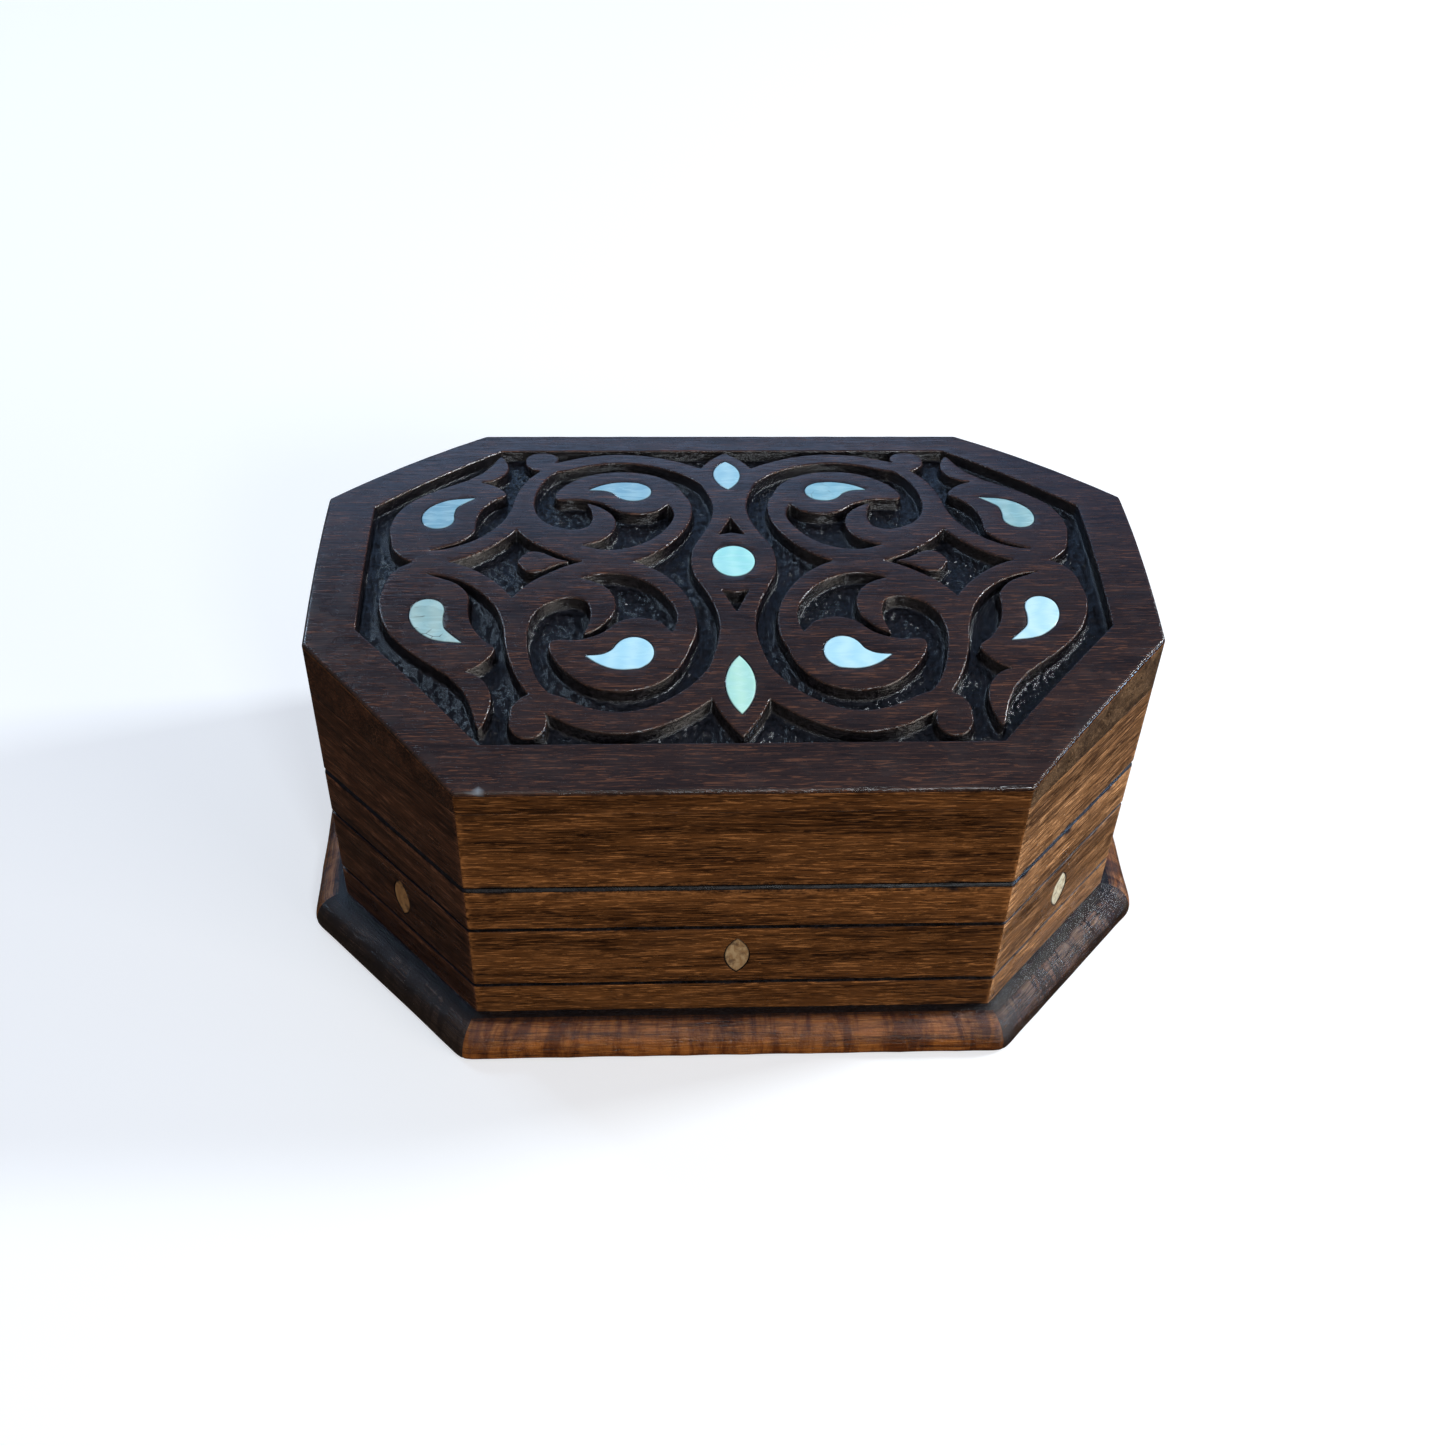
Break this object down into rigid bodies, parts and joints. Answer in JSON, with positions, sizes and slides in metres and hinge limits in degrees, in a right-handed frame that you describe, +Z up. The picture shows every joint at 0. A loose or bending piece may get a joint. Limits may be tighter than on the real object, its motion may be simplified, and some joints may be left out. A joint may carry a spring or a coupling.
{
  "type": "carved and inlaid jewellery box",
  "caption": "Eight-sided wooden trinket box with an arched hinged lid carved with scrolls, shell and bone inlay, and a moulded plinth.",
  "frame": {"origin": "middle of the footprint, on the surface that the box stands on", "axes": "+X to the right along the length, +Y to the hinged back, +Z up"},
  "size_m": [0.163, 0.113, 0.073],
  "materials": {
    "top_board_wood": "dark brown hardwood, glossy varnish, near-black carved ground",
    "wall_wood": "brown hardwood with lengthwise grain, satin varnish",
    "plinth_wood": "mottled dark hardwood, glossy varnish",
    "bottom_wood": "plain plywood",
    "shell": "polished mother-of-pearl",
    "bone": "satin bone",
    "felt": "short-pile felt",
    "brass": "aged brass"
  },
  "bodies": {
    "base": {"base_wall_front": "wall_wood", "base_wall_front_right": "wall_wood", "base_wall_right": "wall_wood", "base_wall_back_right": "wall_wood", "base_wall_back": "wall_wood", "base_wall_back_left": "wall_wood", "base_wall_left": "wall_wood", "base_wall_front_left": "wall_wood", "bone_front": "bone", "bone_front_right": "bone", "bone_right": "bone", "bone_back_right": "bone", "bone_back": "bone", "bone_back_left": "bone", "bone_left": "bone", "bone_front_left": "bone", "bottom_board": "bottom_wood", "plinth_front": "plinth_wood", "plinth_front_right": "plinth_wood", "plinth_right": "plinth_wood", "plinth_back_right": "plinth_wood", "plinth_back": "plinth_wood", "plinth_back_left": "plinth_wood", "plinth_left": "plinth_wood", "plinth_front_left": "plinth_wood", "floor_lining": "felt", "wall_lining": "felt", "base_leaf_left": "brass", "base_leaf_right": "brass", "hinge_pin_left": "brass", "hinge_pin_right": "brass", "base_screws": "brass"},
    "lid": {"lid_board": "top_board_wood", "lid_wall_front": "wall_wood", "lid_wall_front_right": "wall_wood", "lid_wall_right": "wall_wood", "lid_wall_back_right": "wall_wood", "lid_wall_back": "wall_wood", "lid_wall_back_left": "wall_wood", "lid_wall_left": "wall_wood", "lid_wall_front_left": "wall_wood", "shell_oval_middle": "shell", "shell_drop_front": "shell", "shell_drop_back": "shell", "shell_comma_inner_front_right": "shell", "shell_comma_inner_back_right": "shell", "shell_comma_inner_back_left": "shell", "shell_comma_inner_front_left": "shell", "shell_comma_outer_front_right": "shell", "shell_comma_outer_back_right": "shell", "shell_comma_outer_back_left": "shell", "shell_comma_outer_front_left": "shell", "lid_lining": "felt", "lid_leaf_left": "brass", "lid_leaf_right": "brass", "lid_screws": "brass"}
  },
  "joints": [
    {"name": "lid_hinge", "type": "hinge", "parent": "base", "child": "lid", "pos_m": [0, 0.0508, 0.0408], "axis": [-1, 0, 0], "range_deg": [0, 100]}
  ]
}
